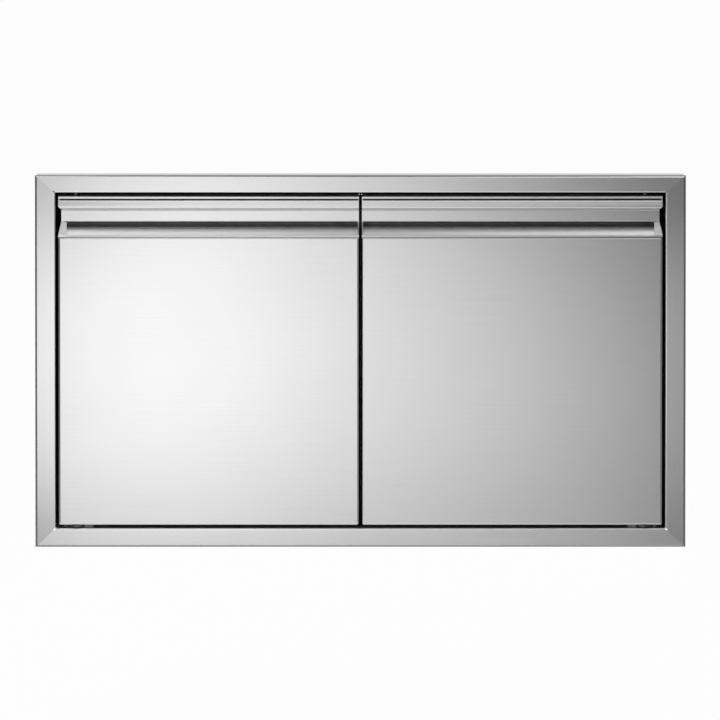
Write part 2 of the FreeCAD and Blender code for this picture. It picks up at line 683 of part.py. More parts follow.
def grip():
    """Folded bar that the fingers pull on, with a hemmed lower edge."""
    points = depth_to_y([
        (POCKET_DEPTH, GRIP_TOP), (GRIP_TOP_SET, GRIP_TOP), (0, GRIP_STEP_HIGH),
        (GRIP_RECESS, GRIP_STEP_LOW),
        (GRIP_RECESS, GRIP_BOTTOM), (GRIP_RECESS + GRIP_HEM, GRIP_BOTTOM),
        (GRIP_RECESS + GRIP_HEM, GRIP_HEM_TOP)])
    hem_bend = GRIP_HEM / 2 - SHEET
    section = folded(points, [BEND, SHOULDER_RADIUS, BEND, hem_bend, hem_bend])
    body = along_x(section, DOOR_FREE + FREE_CAP, DOOR_HINGE).cut(end_cap_region())
    return body.cut(bush_space())


def lip_fold():
    """Fold along the top of the skin: groove, rounded lip and its top, as a strip."""
    points = depth_to_y([
        (LIP_BACK, LIP_TOP), (0, LIP_TOP), (0, LIP_BOTTOM), (LIP_GROOVE, LIP_BOTTOM),
        (LIP_GROOVE, SKIN_TOP), (SHEET / 2, SKIN_TOP)])
    section = folded(points, [LIP_HEM, LIP_HEM, 0.3, 0.3])
    return along_x(section, DOOR_FREE + FREE_CAP, DOOR_HINGE - END_CAP_FOOT)


def scoop():
    """Finger pocket: back wall, floor, rounded slope, a trough behind the lip and a tail."""
    tail = LIP_GROOVE + SHEET
    points = depth_to_y([
        (POCKET_DEPTH, DOOR_TOP - CAP_FLANGE), (POCKET_DEPTH, POCKET_STEP[1]), POCKET_STEP,
        SLOPE_MIDDLE, (TROUGH_BACK, SKIN_TOP), (tail, SKIN_TOP), (tail, SCOOP_TAIL_BOTTOM)])
    section = folded(points, [POCKET_RADIUS, STEP_RADIUS, SLOPE_RADIUS, TROUGH_RADIUS, 0.3])
    full = along_x(section, DOOR_FREE + FREE_CAP, DOOR_HINGE).cut(end_cap_region())
    foot = DOOR_HINGE - END_CAP_FOOT
    return full.cut(box((foot, OPEN_X), (FACE_Y - 1, DOOR_BACK), (SCOOP_TAIL_BOTTOM - 1, SKIN_TOP)))


def top_cap():
    """Top of the door: a sheet with a short hem in front and a flange against the liner."""
    points = depth_to_y([
        (LINER_DEPTH, DOOR_TOP - CAP_FLANGE), (LINER_DEPTH, DOOR_TOP), (0, DOOR_TOP),
        (0, CAP_HEM_BOTTOM)])
    body = along_x(folded(points, [0.3, 0.3]), DOOR_FREE, DOOR_HINGE)
    ends = [box(x, (FACE_Y + 5, DOOR_BACK), (DOOR_TOP - CAP_FLANGE - 1, DOOR_TOP - SHEET))
            for x in ((DOOR_FREE, DOOR_FREE + FREE_CAP), (DOOR_HINGE - END_CAP, DOOR_HINGE))]
    return body.cut(ends + [bush_space()])


def edge_seal():
    """Rubber strip along the door's free edge that closes the centre gap."""
    depth = (FACE_Y + EDGE_SEAL_DEPTH[0], FACE_Y + EDGE_SEAL_DEPTH[1])
    return box((EDGE_SEAL_GAP, DOOR_FREE), depth, (DOOR_BOTTOM + 2, DOOR_TOP - EDGE_SEAL_DROP))


def bush_space():
    """Hole through the top of the door for the upper bush."""
    return rod(BUSH_RADIUS, (PIVOT_X, PIVOT_Y, GRIP_STEP_HIGH), (0, 0, 1), 30)


def outer_skin():
    """Face of the door with its side and bottom returns, and the lip of the finger pull."""
    body = pan((DOOR_FREE, DOOR_HINGE), (DOOR_BOTTOM, SKIN_TOP), (FACE_Y, DOOR_BACK),
               SHEET, SKIN_RADIUS, True)
    ledge = box((DOOR_FREE + SHEET, DOOR_HINGE - SHEET), (FACE_Y + SHEET / 2, FACE_Y + LIP_GROOVE),
                (SKIN_TOP - SHEET, SKIN_TOP))
    body = body.fuse(ledge).removeSplitter()
    edge = [e for e in body.Edges if abs(e.CenterOfMass.z - SKIN_TOP) < 1e-6 and
            abs(e.CenterOfMass.y - FACE_Y) < 1e-6]
    body = body.makeFillet(SKIN_TOP_RADIUS, edge).fuse(lip_fold()).removeSplitter()
    return body.cut(rod(BUSH_RADIUS, (PIVOT_X, PIVOT_Y, DOOR_BOTTOM - 1), (0, 0, 1), 3))


def inner_liner():
    """Back panel of the door: a shallow tray inside the skin, plain behind the finger pull."""
    x = (DOOR_FREE + SHEET, DOOR_HINGE - SHEET)
    low = DOOR_BOTTOM + SHEET
    tray = pan(x, (low, SKIN_TOP - 1), (-DOOR_BACK, LINER_FLANGE - DOOR_BACK), SHEET, 1.8, True)
    tray = tray.mirror(V(0, 0, 0), V(0, 1, 0))
    upper = box((DOOR_FREE, DOOR_HINGE), (DOOR_BACK - SHEET, DOOR_BACK), (SKIN_TOP, DOOR_TOP))
    neck = box(x, (DOOR_BACK - SHEET, DOOR_BACK), (SKIN_TOP - 2, SKIN_TOP))
    return tray.fuse([upper, neck]).cut(notch()).removeSplitter()


def stiffener():
    """Hat channel between skin and liner."""
    back = DOOR_BACK - SHEET
    front = FACE_Y + SHEET + STIFFENER_SHEET
    foot = STIFFENER_WEB + STIFFENER_FLANGE
    points = [(DOOR_MIDDLE + foot, back), (DOOR_MIDDLE + STIFFENER_WEB, back),
              (DOOR_MIDDLE + STIFFENER_WEB, front), (DOOR_MIDDLE - STIFFENER_WEB, front),
              (DOOR_MIDDLE - STIFFENER_WEB, back), (DOOR_MIDDLE - foot, back)]
    section = folded(points, [BEND] * 4, STIFFENER_SHEET)
    return along_z(section, DOOR_BOTTOM + 8, SCOOP_TAIL_BOTTOM - 3)


def upper_pivot_block():
    """Block under the grip's top flange that holds the upper bush."""
    block = box((PIVOT_X - BLOCK_REACH, DOOR_HINGE - END_INSET - END_CAP),
                (FACE_Y + BLOCK_FRONT, FACE_Y + POCKET_DEPTH), (UPPER_BLOCK_LOW, GRIP_TOP - SHEET))
    return block.cut(bush_space())


def lower_pivot_block():
    """Block on the skin's bottom return that holds the lower bush."""
    low = DOOR_BOTTOM + SHEET
    block = box((PIVOT_X - BLOCK_REACH, DOOR_HINGE - SKIN_RADIUS - 1),
                (FACE_Y + BLOCK_FRONT, FACE_Y + LOWER_BLOCK_BACK), (low, DOOR_BOTTOM + PIN_REACH))
    return block.cut(rod(BUSH_RADIUS, (PIVOT_X, PIVOT_Y, low - 1), (0, 0, 1), PIN_REACH + 2))


def bush(top):
    """Plain bush round a pivot pin, flush with the door's edge."""
    bore = PIN_RADIUS + PIN_CLEARANCE
    low = UPPER_BLOCK_LOW if top else DOOR_BOTTOM
    high = DOOR_TOP if top else DOOR_BOTTOM + PIN_REACH
    body = rod(BUSH_RADIUS, (PIVOT_X, PIVOT_Y, low), (0, 0, 1), high - low)
    return body.cut(rod(bore, (PIVOT_X, PIVOT_Y, low - 1), (0, 0, 1), high - low + 2))


def strike_plate():
    """Steel plate on the back of the door that the magnet holds."""
    x = (CATCH_X - CATCH_HALF, CATCH_X + CATCH_HALF)
    z = (DOOR_TOP - STRIKE_DROP[0], DOOR_TOP - STRIKE_DROP[1])
    return box(x, (DOOR_BACK, DOOR_BACK + STRIKE_THICK), z)


def strike_rivets():
    """Two rivets through pocket, liner and strike plate, below the magnet's face."""
    z = DOOR_TOP - STRIKE_RIVET_DROP
    return [rivet((x, FACE_Y + POCKET_DEPTH, z), (0, 1, 0), 2 * SHEET + STRIKE_THICK)
            for x in (CATCH_X - STRIKE_RIVET_X, CATCH_X + STRIKE_RIVET_X)]


def liner_screws():
    """Screws through the liner into both flanges of the stiffener."""
    return [pan_screw((x, DOOR_BACK, z), (0, -1, 0), SHEET + 4)
            for x in (DOOR_MIDDLE - LINER_SCREW_X, DOOR_MIDDLE + LINER_SCREW_X)
            for z in LINER_SCREW_Z]


def limit_cam():
    """Ring under the door with a lobe that meets the stud when the door is fully open."""
    low = DOOR_BOTTOM - CAM_THICK
    centre = V(PIVOT_X, PIVOT_Y, low)
    ring = Part.makeCylinder(CAM_HUB_RADIUS, CAM_THICK, centre)
    lobe = Part.makeCylinder(CAM_REACH, CAM_THICK, centre, V(0, 0, 1), CAM_SPAN)
    lobe.rotate(centre, V(0, 0, 1), -CAM_SPAN)
    return ring.fuse(lobe).cut(rod(WASHER_RADIUS + 0.5, centre - V(0, 0, 1), (0, 0, 1), CAM_THICK + 2))


def frame_nodes():
    """The trim frame, the sleeve and everything fixed to them."""
    slots = relief_slots()
    reliefs = return_reliefs()
    screws = bracket_screws()
    studs = pair(limit_stud())
    rivets = gusset_rivets()
    nodes = {}
    for name, member in (("top_rail", rail("top")), ("bottom_rail", rail("bottom"))):
        pins = pair(pivot_pin(name == "top_rail"))
        nodes[name] = main_solid(member.cut([slots, reliefs, screws, studs, pins]))
    right_stile = stile().cut([slots, reliefs])
    nodes["right_stile"] = right_stile
    nodes["left_stile"] = mirrored(right_stile)
    fixings = sleeve_screws()
    nodes["head_jamb"] = head_or_sill("head").cut([rivets, fixings])
    nodes["sill_jamb"] = head_or_sill("sill").cut([rivets, fixings, studs])
    right_jamb = jamb().cut(rivets)
    nodes["right_jamb"] = right_jamb
    nodes["left_jamb"] = mirrored(right_jamb)
    gussets = []
    for top in (True, False):
        angle = gusset(top).cut(rivets)
        gussets += [angle, mirrored(angle)]
    nodes["corner_gussets"] = Part.Compound(gussets)
    nodes["gusset_rivets"] = rivets
    for name, top in (("upper", True), ("lower", False)):
        nodes[name + "_pivot_brackets"] = pair(pivot_bracket(top).cut(screws))
        nodes["right_" + name + "_pin"] = pivot_pin(top)
        nodes["left_" + name + "_pin"] = mirrored(pivot_pin(top))
    nodes["bracket_screws"] = screws
    nodes["thrust_washers"] = pair(thrust_washer())
    nodes["limit_studs"] = studs
    housing = catch_housing().cut(fixings)
    nodes["right_catch_housing"] = housing
    nodes["left_catch_housing"] = mirrored(housing)
    magnets = catch_magnet()
    nodes["catch_magnets"] = Part.Compound(magnets + [mirrored(m) for m in magnets])
    nodes["sleeve_screws"] = fixings
    nodes["frame_seals"] = frame_seals()
    bumpers = pair(bumper())
    nodes["stop_bracket"] = stop_bracket().cut([bumpers, fixings])
    nodes["stop_bumpers"] = bumpers
    return nodes


def door_nodes():
    """The pieces of the right-hand door."""
    strike_fixings = Part.Compound(strike_rivets())
    liner_fixings = Part.Compound(liner_screws())
    return {
        "outer_skin": outer_skin(),
        "inner_liner": inner_liner().cut([strike_fixings, liner_fixings]),
        "top_cap": top_cap(),
        "grip": grip(),
        "scoop": scoop().cut(strike_fixings),
        "hinge_end_cap": hinge_end_cap(),
        "free_end_cap": free_end_cap(),
        "edge_seal": edge_seal(),
        "stiffener": stiffener().cut(liner_fixings),
        "upper_pivot_block": upper_pivot_block(),
        "lower_pivot_block": lower_pivot_block(),
        "upper_bush": bush(True),
        "lower_bush": bush(False),
        "strike_plate": strike_plate().cut(strike_fixings),
        "strike_rivets": strike_fixings,
        "liner_screws": liner_fixings,
        "limit_cam": limit_cam(),
    }


def main():
    """Build every piece and write one file for each."""
    os.makedirs("parts", exist_ok=True)
    nodes = frame_nodes()
    for name, shape in door_nodes().items():
        nodes["right_door_" + name] = shape
        nodes["left_door_" + name] = mirrored(shape)
    for name, shape in sorted(nodes.items()):
        if not shape.isValid():
            print("not valid:", name)
        print(name, len(shape.Solids), round(shape.Volume / 1000, 2), "cm3")
        shape.exportStep("parts/" + name + ".step")
    print(len(nodes), "nodes")


if __name__ == "__main__":
    main()
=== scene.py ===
"""Looks of the double access door for an outdoor kitchen island.

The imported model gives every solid. This file dresses its nodes in procedural finishes,
shows the doors' edge seals as foam strips with a soft nose, and sets up the studio.
"""
import logging
import math
from dataclasses import dataclass
from enum import Enum
from typing import Any

import bmesh
import bpy
from mathutils import Matrix, Vector


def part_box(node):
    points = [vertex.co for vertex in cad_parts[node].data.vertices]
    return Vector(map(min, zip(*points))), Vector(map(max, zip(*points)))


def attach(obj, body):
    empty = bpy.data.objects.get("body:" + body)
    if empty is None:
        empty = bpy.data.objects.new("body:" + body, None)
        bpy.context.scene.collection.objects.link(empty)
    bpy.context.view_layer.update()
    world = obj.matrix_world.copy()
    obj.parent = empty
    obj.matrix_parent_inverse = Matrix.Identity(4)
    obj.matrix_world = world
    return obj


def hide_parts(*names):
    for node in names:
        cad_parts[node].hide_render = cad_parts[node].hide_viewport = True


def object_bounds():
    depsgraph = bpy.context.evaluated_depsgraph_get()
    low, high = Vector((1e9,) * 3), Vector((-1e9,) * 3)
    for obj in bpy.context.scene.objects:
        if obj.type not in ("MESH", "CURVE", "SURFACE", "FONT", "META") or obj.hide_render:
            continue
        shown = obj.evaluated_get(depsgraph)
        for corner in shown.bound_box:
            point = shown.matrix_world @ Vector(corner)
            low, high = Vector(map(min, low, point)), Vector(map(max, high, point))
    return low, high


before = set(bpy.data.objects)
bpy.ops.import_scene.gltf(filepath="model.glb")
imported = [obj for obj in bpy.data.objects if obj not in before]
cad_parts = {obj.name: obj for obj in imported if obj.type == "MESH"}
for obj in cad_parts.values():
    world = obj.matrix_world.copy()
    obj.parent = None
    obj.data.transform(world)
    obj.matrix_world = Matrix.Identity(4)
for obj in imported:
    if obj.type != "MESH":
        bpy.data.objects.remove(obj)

CAD_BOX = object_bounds()
MILLIMETRE = 0.001
WHITE = "ffffff"
# Nearly all values of a noise texture lie in the first span, most of them in the second.
NOISE_SPAN = (0.3, 0.7)
NARROW_SPAN = (0.35, 0.65)

log = logging.getLogger("access_door")

Colour = tuple[float, float, float, float]
Point = tuple[float, float, float]
Corners = tuple[Point, Point, Point, Point]
# Depth and height of a level edge.
Edge = tuple[float, float]
# Stops of a brightness profile: place in metres and strength, where 1 is white.
Profile = tuple[tuple[float, float], ...]


class Grain(Enum):
    """Direction in which a sheet was brushed."""

    ACROSS = (1.0, 0.0, 0.0)
    UPRIGHT = (0.0, 0.0, 1.0)


class Side(Enum):
    """One of the two doors, with the sign of its place on X."""

    LEFT = -1
    RIGHT = 1

    @property
    def label(self) -> str:
        """Word that starts the names of this side's nodes."""
        return self.name.lower()


def linear(hex_colour: str) -> Colour:
    """Turn an sRGB hex colour into linear light.

    Args:
        hex_colour: Six hex digits, such as "c8c9ca".

    Returns:
        Red, green, blue and an alpha of one.
    """
    channels = []
    for start in (0, 2, 4):
        value = int(hex_colour[start:start + 2], 16) / 255
        channels.append(value / 12.92 if value <= 0.04045 else ((value + 0.055) / 1.055) ** 2.4)
    return (channels[0], channels[1], channels[2], 1.0)


def add_node(tree: bpy.types.NodeTree, kind: str, settings: dict[str, Any] | None = None,
             inputs: dict[str | int, Any] | None = None,
             stops: tuple[tuple[float, Colour], ...] = ()) -> bpy.types.Node:
    """Add a node with its settings, socket values, links and colour stops.

    Args:
        tree: Node tree that takes the node.
        kind: Blender's class name of the node.
        settings: Properties of the node itself.
        inputs: Value or output socket for each input, by name or place.
        stops: Place and linear colour of each stop, on a node with a colour ramp.

    Returns:
        The new node.
    """
    node = tree.nodes.new(kind)
    for name, value in (settings or {}).items():
        setattr(node, name, value)
    for key, value in (inputs or {}).items():
        if isinstance(value, bpy.types.NodeSocket):
            tree.links.new(value, node.inputs[key])
        else:
            node.inputs[key].default_value = value
    if stops:
        elements = node.color_ramp.elements
        while len(elements) < len(stops):
            elements.new(0.5)
        for element, (place, colour) in zip(elements, stops):
            element.position = place
            element.color = colour
    return node


def new_material(name: str) -> tuple[bpy.types.Material, bpy.types.NodeTree]:
    """Make an empty node material.

    Args:
        name: Name of the material.

    Returns:
        The material and its cleared node tree.
    """
    material = bpy.data.materials.new(name)
    material.use_nodes = True
    material.node_tree.nodes.clear()
    return material, material.node_tree


def pattern_scale(width_mm: float) -> float:
    """Texture scale at which one feature of a pattern is this wide."""
    return 1.0 / (width_mm * MILLIMETRE)


def vary_tone(tree: bpy.types.NodeTree, texture: bpy.types.NodeSocket, dark: str, light: str,
              span: tuple[float, float]) -> bpy.types.NodeSocket:
    """Let a texture move a colour between two tones.

    Args:
        tree: Node tree that takes the node.
        texture: Output socket with the texture.
        dark: Tone at the low end, as a hex colour.
        light: Tone at the high end, as a hex colour.
        span: Texture values at which the two tones are reached.

    Returns:
        The colour's output socket.
    """
    tone = add_node(tree, "ShaderNodeValToRGB", inputs={"Fac": texture},
                    stops=((span[0], linear(dark)), (span[1], linear(light))))
    return tone.outputs["Color"]


def vary_roughness(tree: bpy.types.NodeTree, texture: bpy.types.NodeSocket, middle: float,
                   spread: float) -> bpy.types.NodeSocket:
    """Let a texture move a roughness to both sides of its middle.

    Args:
        tree: Node tree that takes the node.
        texture: Output socket with the texture.
        middle: Roughness in the middle.
        spread: How far it moves to each side.

    Returns:
        The roughness's output socket.
    """
    rough = add_node(tree, "ShaderNodeMapRange", inputs={
        "Value": texture, "From Min": NOISE_SPAN[0], "From Max": NOISE_SPAN[1],
        "To Min": middle - spread, "To Max": middle + spread})
    return rough.outputs["Result"]


def grade(tree: bpy.types.NodeTree, place: bpy.types.NodeSocket,
          stops: Profile) -> bpy.types.NodeSocket:
    """Turn a place in metres into a strength that changes smoothly between stops.

    Args:
        tree: Node tree that takes the nodes.
        place: Output socket with the place.
        stops: Place and strength of each stop, in rising order of place.

    Returns:
        The strength's output socket.
    """
    low, high = stops[0][0], stops[-1][0]
    peak = max(strength for _, strength in stops)
    share = add_node(tree, "ShaderNodeMapRange", inputs={
        "Value": place, "From Min": low, "From Max": high})
    greys = tuple(((at - low) / (high - low), (level / peak, level / peak, level / peak, 1.0))
                  for at, level in stops)
    shade = add_node(tree, "ShaderNodeValToRGB", inputs={"Fac": share.outputs["Result"]},
                     stops=greys)
    strength = add_node(tree, "ShaderNodeMath", {"operation": "MULTIPLY"}, {
        0: shade.outputs["Color"], 1: peak})
    return strength.outputs["Value"]


@dataclass(frozen=True)
class BrushedStainless:
    """Sheet of 304 stainless steel with a satin brushed finish, as on the frame and the doors.

    The abrasive belt leaves fine parallel scratches. They spread a reflection across the
    grain and keep it tighter along it, so broad light turns into soft, even bands.
    The tangent of the wider lobe is therefore the surface normal times the grain.
    """

    name: str
    grain: Grain
    dark: str = "dadada"
    light: str = "dfdfdf"
    roughness: float = 0.28
    roughness_spread: float = 0.02
    anisotropy: float = 0.55
    # Scratches of a 180 grit belt are 0.05 mm apart. That is too fine for the render,
    # so they are drawn 0.9 mm apart and 120 mm long.
    scratch_pitch_mm: float = 0.9
    scratch_length_mm: float = 120.0
    relief_mm: float = 0.004
    relief_strength: float = 0.2
    # Slow changes in the belt's pressure, which leave some patches slightly duller.
    pressure_width_mm: float = 91.0
    pressure_roughness: float = 0.04
    # Keeps the grain slightly off the axes, so that no flat end of a sheet is square to it.
    slant: tuple[float, float, float] = (0.012, 0.017, 0.009)

    def make(self) -> bpy.types.Material:
        """Build the node material.

        Returns:
            The material.
        """
        material, tree = new_material(self.name)
        along = Vector(self.grain.value)
        fine = pattern_scale(self.scratch_pitch_mm)
        coarse = pattern_scale(self.scratch_length_mm)
        where = add_node(tree, "ShaderNodeTexCoord")
        stretched = add_node(tree, "ShaderNodeMapping", inputs={
            "Vector": where.outputs["Object"],
            "Scale": tuple(coarse if part else fine for part in along)})
        scratches = add_node(tree, "ShaderNodeTexNoise", inputs={
            "Vector": stretched.outputs["Vector"], "Scale": 1.0, "Detail": 3.0, "Roughness": 0.6})
        pressure = add_node(tree, "ShaderNodeTexNoise", inputs={
            "Vector": where.outputs["Object"], "Scale": pattern_scale(self.pressure_width_mm),
            "Detail": 2.0})
        tone = vary_tone(tree, scratches.outputs["Fac"], self.dark, self.light, NOISE_SPAN)
        rough = vary_roughness(tree, scratches.outputs["Fac"], self.roughness,
                               self.roughness_spread)
        patchy = add_node(tree, "ShaderNodeMath", {"operation": "MULTIPLY_ADD"}, {
            0: pressure.outputs["Fac"], 1: self.pressure_roughness, 2: rough})
        bump = add_node(tree, "ShaderNodeBump", inputs={
            "Height": scratches.outputs["Fac"], "Strength": self.relief_strength,
            "Distance": self.relief_mm * MILLIMETRE})
        surface = add_node(tree, "ShaderNodeNewGeometry")
        across = add_node(tree, "ShaderNodeVectorMath", {"operation": "CROSS_PRODUCT"}, {
            0: surface.outputs["Normal"], 1: (along + Vector(self.slant)).normalized()})
        steel = add_node(tree, "ShaderNodeBsdfPrincipled", inputs={
            "Base Color": tone, "Metallic": 1.0, "Roughness": patchy.outputs["Value"],
            "Anisotropic": self.anisotropy, "Normal": bump.outputs["Normal"],
            "Tangent": across.outputs["Vector"]})
        add_node(tree, "ShaderNodeOutputMaterial", inputs={"Surface": steel.outputs["BSDF"]})
        return material


@dataclass(frozen=True)
class GrainyMetal:
    """Rolled, turned, plated or pressed metal with a fine uneven grain.

    Mill rollers, a lathe or a sintering press leave a skin without one strong direction. It
    gives the eye a soft sheen with slight clouds in it.
    """

    name: str
    dark: str
    light: str
    roughness: float
    grain_mm: float
    relief_mm: float = 0.01
    relief_strength: float = 0.4
    roughness_spread: float = 0.05
    stretch: tuple[float, float, float] = (1.0, 1.0, 1.0)
    # Clouds that handling and rolling leave, and their share in the pattern.
    cloud_width_mm: float = 40.0
    cloud_share: float = 0.4

    def make(self) -> bpy.types.Material:
        """Build the node material.

        Returns:
            The material.
        """
        material, tree = new_material(self.name)
        where = add_node(tree, "ShaderNodeTexCoord")
        placed = add_node(tree, "ShaderNodeMapping", inputs={
            "Vector": where.outputs["Object"],
            "Scale": tuple(pattern_scale(self.grain_mm) / length for length in self.stretch)})
        grain = add_node(tree, "ShaderNodeTexNoise", inputs={
            "Vector": placed.outputs["Vector"], "Scale": 1.0, "Detail": 4.0, "Roughness": 0.65})
        clouds = add_node(tree, "ShaderNodeTexNoise", inputs={
            "Vector": where.outputs["Object"], "Scale": pattern_scale(self.cloud_width_mm),
            "Detail": 2.0})
        mixed = add_node(tree, "ShaderNodeMix", {"data_type": "FLOAT"}, {
            0: self.cloud_share, 2: grain.outputs["Fac"], 3: clouds.outputs["Fac"]})
        bump = add_node(tree, "ShaderNodeBump", inputs={
            "Height": grain.outputs["Fac"], "Strength": self.relief_strength,
            "Distance": self.relief_mm * MILLIMETRE})
        metal = add_node(tree, "ShaderNodeBsdfPrincipled", inputs={
            "Base Color": vary_tone(tree, mixed.outputs[0], self.dark, self.light, NARROW_SPAN),
            "Metallic": 1.0,
            "Roughness": vary_roughness(tree, mixed.outputs[0], self.roughness,
                                        self.roughness_spread),
            "Normal": bump.outputs["Normal"]})
        add_node(tree, "ShaderNodeOutputMaterial", inputs={"Surface": metal.outputs["BSDF"]})
        return material


@dataclass(frozen=True)
class MouldedPolymer:
    """Moulded or extruded plastic or rubber with a fine matt texture.

    The mould's spark-eroded skin, or the bloom on rubber, scatters light. It gives the eye a
    dull surface with a weak broad sheen and no clear reflection.
    """

    name: str
    dark: str
    light: str
    roughness: float
    ior: float
    texture_mm: float
    relief_mm: float = 0.02
    relief_strength: float = 0.5
    roughness_spread: float = 0.06
    specular: float = 0.5

    def make(self) -> bpy.types.Material:
        """Build the node material.

        Returns:
            The material.
        """
        material, tree = new_material(self.name)
        where = add_node(tree, "ShaderNodeTexCoord")
        texture = add_node(tree, "ShaderNodeTexNoise", inputs={
            "Vector": where.outputs["Object"], "Scale": pattern_scale(self.texture_mm),
            "Detail": 3.0, "Roughness": 0.6})
        bump = add_node(tree, "ShaderNodeBump", inputs={
            "Height": texture.outputs["Fac"], "Strength": self.relief_strength,
            "Distance": self.relief_mm * MILLIMETRE})
        polymer = add_node(tree, "ShaderNodeBsdfPrincipled", inputs={
            "Base Color": vary_tone(tree, texture.outputs["Fac"], self.dark, self.light,
                                    NARROW_SPAN),
            "Metallic": 0.0,
            "Roughness": vary_roughness(tree, texture.outputs["Fac"], self.roughness,
                                        self.roughness_spread),
            "IOR": self.ior, "Specular IOR Level": self.specular,
            "Normal": bump.outputs["Normal"]})
        add_node(tree, "ShaderNodeOutputMaterial", inputs={"Surface": polymer.outputs["BSDF"]})
        return material


Finish = BrushedStainless | GrainyMetal | MouldedPolymer

FRAME_ACROSS = BrushedStainless("frame_stainless_brushed_across", Grain.ACROSS)
FRAME_UPRIGHT = BrushedStainless("frame_stainless_brushed_upright", Grain.UPRIGHT)
DOOR_ACROSS = BrushedStainless("door_stainless_brushed_across", Grain.ACROSS)
# The folded sheets of the finger pull are a touch duller than the flat ones.
PULL_ACROSS = BrushedStainless("pull_stainless_brushed_across", Grain.ACROSS, roughness=0.3)
# Cold-rolled 2B stainless, as it leaves the mill: greyer and duller than the brushed skin.
MILL_SHEET = GrainyMetal("sheet_stainless_mill_finish", "b2b4b5", "bfc1c2", 0.42, 1.2)
# Steel bar turned on a lathe and blackened in hot oxide, with faint rings along its length.
BLACK_OXIDE = GrainyMetal("pin_steel_black_oxide", "4a4a4b", "6c6c6d", 0.36, 0.6,
                          relief_mm=0.004, stretch=(6.0, 6.0, 1.0))
# Cold-headed screws and rivets with a thin bright zinc coat.
ZINC_FIXING = GrainyMetal("fixing_steel_bright", "b4b8bb", "cdd1d3", 0.3, 0.8)
# Oil-filled sintered bronze, with open pores that darken it.
SINTERED_BRONZE = GrainyMetal("bush_bronze_sintered", "4a3d2a", "66543a", 0.48, 0.5,
                              relief_mm=0.02)
# Sintered ferrite magnet between nickel-plated pole plates.
PLATED_MAGNET = GrainyMetal("magnet_steel_plated", "8f9090", "b5b6b5", 0.34, 0.9)
# Black polyamide, moulded: slightly waxy.
NYLON = MouldedPolymer("washer_nylon_moulded", "1c1c1c", "282828", 0.42, 1.53, 0.8)
# Black acetal, moulded with a spark-eroded texture.
ACETAL = MouldedPolymer("catch_acetal_moulded", "1b1b1c", "262627", 0.46, 1.48, 0.7)
# Black EPDM rubber: moulded for the bumpers, extruded as an open foam for the seals. The seals
# are partly painted shade: blacker and duller than the bumpers, so the gaps they fill read as shadow.
BUMPER_RUBBER = MouldedPolymer("bumper_rubber_moulded", "171717", "202020", 0.7, 1.52, 0.9)
SHADE_BLACK_SEAL = MouldedPolymer("seal_rubber_painted_shade", "070707", "0d0d0d", 0.85, 1.52, 0.9,
                             specular=0.12)


class FinishRack:
    """Keeps one node material for each finish."""

    def __init__(self) -> None:
        """Start with an empty rack."""
        self._made: dict[str, bpy.types.Material] = {}

    def get(self, finish: Finish) -> bpy.types.Material:
        """Give a finish's material, made on its first use.

        Args:
            finish: The finish.

        Returns:
            Its node material.
        """
        if finish.name not in self._made:
            self._made[finish.name] = finish.make()
        return self._made[finish.name]

    def dress(self, finish: Finish, *nodes: str) -> None:
        """Give CAD nodes a finish in all of their material slots.

        Args:
            finish: The finish.
            nodes: Names of the CAD nodes.
        """
        for name in nodes:
            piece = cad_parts[name]
            piece.data.materials.clear()
            piece.data.materials.append(self.get(finish))
            log.info("%s: %s", name, finish.name)


@dataclass
class TrimFrame:
    """The four mitred members that show around the doors."""

    rails: tuple[str, ...] = ("top_rail", "bottom_rail")
    stiles: tuple[str, ...] = ("left_stile", "right_stile")

    def build(self, rack: FinishRack) -> None:
        """Dress the members, each with its grain along its length."""
        rack.dress(FRAME_ACROSS, *self.rails)
        rack.dress(FRAME_UPRIGHT, *self.stiles)


@dataclass
class Sleeve:
    """The liner that passes through the island, with its corner angles and seals."""

    panels: tuple[str, ...] = ("head_jamb", "sill_jamb", "left_jamb", "right_jamb")
    fixings: tuple[str, ...] = ("gusset_rivets", "sleeve_screws")

    def build(self, rack: FinishRack) -> None:
        """Dress the sleeve's sheets, fixings and seals.

        Args:
            rack: Rack with the finishes.
        """
        rack.dress(MILL_SHEET, *self.panels, "corner_gussets")
        rack.dress(ZINC_FIXING, *self.fixings)
        # The frame seals are partly painted shade: near black, so the gaps round the doors read as
        # shadow.
        rack.dress(SHADE_BLACK_SEAL, "frame_seals")


@dataclass
class HingeHardware:
    """Pins, brackets, washers and limit studs that the doors turn on."""

    pins: tuple[str, ...] = ("left_upper_pin", "left_lower_pin", "right_upper_pin", "right_lower_pin")
    brackets: tuple[str, ...] = ("upper_pivot_brackets", "lower_pivot_brackets")

    def build(self, rack: FinishRack) -> None:
        """Dress the hinge hardware.

        Args:
            rack: Rack with the finishes.
        """
        rack.dress(BLACK_OXIDE, *self.pins, "limit_studs")
        rack.dress(MILL_SHEET, *self.brackets)
        rack.dress(ZINC_FIXING, "bracket_screws")
        rack.dress(NYLON, "thrust_washers")


@dataclass
class CatchesAndStop:
    """Magnetic catches under the head and the bumper bracket on the sill."""

    housings: tuple[str, ...] = ("left_catch_housing", "right_catch_housing")

    def build(self, rack: FinishRack) -> None:
        """Dress the catches and the stop.

        Args:
            rack: Rack with the finishes.
        """
        rack.dress(ACETAL, *self.housings)
        rack.dress(PLATED_MAGNET, "catch_magnets")
        rack.dress(MILL_SHEET, "stop_bracket")
        rack.dress(BUMPER_RUBBER, "stop_bumpers")


